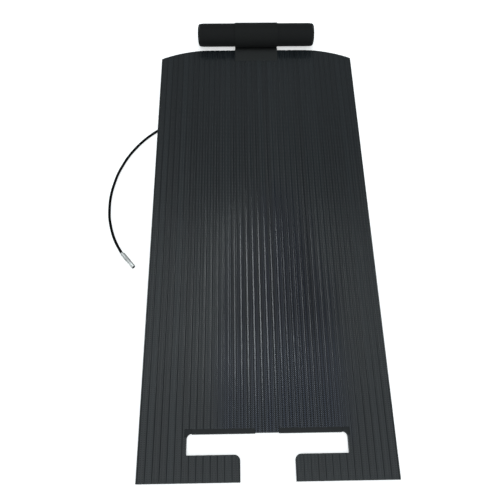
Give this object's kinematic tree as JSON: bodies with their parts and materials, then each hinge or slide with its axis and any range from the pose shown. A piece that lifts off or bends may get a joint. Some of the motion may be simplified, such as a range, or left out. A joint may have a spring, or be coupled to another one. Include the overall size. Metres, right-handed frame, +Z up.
{
  "type": "flexible solar sheet",
  "caption": "Rollable ribbed solar sheet with thin-film cell strips, a bolster on a neck strap, a matching T-slot and a short lead with a barrel plug.",
  "frame": {"origin": "bottom centre of the sheet and its bolster lying flat, with the lead and plug left out", "axes": "+X to the right across the sheet, +Y along the sheet from the slotted foot to the bolster, +Z up out of the cell side"},
  "size_m": [0.4397, 0.8254, 0.0448],
  "materials": {
    "backing_rubber": "satin black thermoplastic rubber backing",
    "cell_silicon": "dark blue-black thin-film cell strip",
    "bus_copper": "tinned copper ribbon, bare at the terminals",
    "front_film": "satin ribbed front film over the dark cells",
    "binding": "smooth dark binding strip",
    "strap_rubber": "smooth matte strap",
    "roll_fabric": "matte coated fabric",
    "foam": "soft grey foam",
    "core_aluminium": "drawn aluminium tube",
    "junction_plastic": "black moulding",
    "gasket_rubber": "soft black seal",
    "screw_steel": "plated screw",
    "terminal_brass": "brass terminal",
    "diode_plastic": "black epoxy body",
    "wire_red": "insulated core",
    "lead_jacket": "black jacket",
    "plug_nickel": "nickel-plated shell and barrel",
    "plug_insulator": "black insulator"
  },
  "bodies": {
    "panel_6": {"backing_6": "backing_rubber", "cells_6": "cell_silicon", "bus_ribbons_6": "bus_copper", "front_film_6": "front_film", "cross_ribbons": "bus_copper", "junction_base": "junction_plastic", "junction_lid": "junction_plastic", "junction_gasket": "gasket_rubber", "lid_screws": "screw_steel", "terminal_positive": "terminal_brass", "terminal_negative": "terminal_brass", "blocking_diode": "diode_plastic", "lead_cores": "wire_red", "strain_relief": "gasket_rubber", "output_lead": "lead_jacket", "plug_shell": "plug_nickel", "plug_barrel": "plug_nickel", "plug_insulator": "plug_insulator", "plug_centre_pin": "terminal_brass"},
    "panel_5": {"backing_5": "backing_rubber", "cells_5": "cell_silicon", "bus_ribbons_5": "bus_copper", "front_film_5": "front_film"},
    "panel_4": {"backing_4": "backing_rubber", "cells_4": "cell_silicon", "bus_ribbons_4": "bus_copper", "front_film_4": "front_film"},
    "panel_3": {"backing_3": "backing_rubber", "cells_3": "cell_silicon", "bus_ribbons_3": "bus_copper", "front_film_3": "front_film"},
    "panel_2": {"backing_2": "backing_rubber", "cells_2": "cell_silicon", "bus_ribbons_2": "bus_copper", "front_film_2": "front_film"},
    "panel_1": {"backing_1": "backing_rubber", "cells_1": "cell_silicon", "bus_ribbons_1": "bus_copper", "front_film_1": "front_film", "slot_trim_left": "binding", "slot_trim_right": "binding"},
    "panel_7": {"backing_7": "backing_rubber", "cells_7": "cell_silicon", "bus_ribbons_7": "bus_copper", "front_film_7": "front_film", "neck_tab": "strap_rubber"},
    "roll": {"roll_wrap": "strap_rubber", "roll_cover": "roll_fabric", "roll_end_left": "roll_fabric", "roll_end_right": "roll_fabric", "roll_foam": "foam", "roll_core": "core_aluminium"}
  },
  "joints": [
    {"name": "curl_5", "type": "hinge", "parent": "panel_6", "child": "panel_5", "pos_m": [0, 0.14444, 0.006], "axis": [-1, 0, 0], "range_deg": [0, 45], "stiffness_Nm_per_rad": 0.2},
    {"name": "curl_4", "type": "hinge", "parent": "panel_5", "child": "panel_4", "pos_m": [0, 0.03301, 0.006], "axis": [-1, 0, 0], "range_deg": [0, 45], "stiffness_Nm_per_rad": 0.2},
    {"name": "curl_3", "type": "hinge", "parent": "panel_4", "child": "panel_3", "pos_m": [0, -0.07841, 0.006], "axis": [-1, 0, 0], "range_deg": [0, 45], "stiffness_Nm_per_rad": 0.2},
    {"name": "curl_2", "type": "hinge", "parent": "panel_3", "child": "panel_2", "pos_m": [0, -0.18984, 0.006], "axis": [-1, 0, 0], "range_deg": [0, 45], "stiffness_Nm_per_rad": 0.2},
    {"name": "curl_1", "type": "hinge", "parent": "panel_2", "child": "panel_1", "pos_m": [0, -0.30127, 0.006], "axis": [-1, 0, 0], "range_deg": [0, 45], "stiffness_Nm_per_rad": 0.2},
    {"name": "curl_7", "type": "hinge", "parent": "panel_6", "child": "panel_7", "pos_m": [0, 0.25587, 0.006], "axis": [1, 0, 0], "range_deg": [0, 45], "stiffness_Nm_per_rad": 0.2},
    {"name": "roll_fold", "type": "hinge", "parent": "panel_7", "child": "roll", "pos_m": [0, 0.3673, 0.006], "axis": [1, 0, 0], "range_deg": [0, 70]}
  ],
  "couplings": [
    {"joint": "curl_4", "follows": "curl_5", "ratio": 1},
    {"joint": "curl_3", "follows": "curl_5", "ratio": 1},
    {"joint": "curl_2", "follows": "curl_5", "ratio": 1},
    {"joint": "curl_1", "follows": "curl_5", "ratio": 1},
    {"joint": "curl_7", "follows": "curl_5", "ratio": 1}
  ]
}
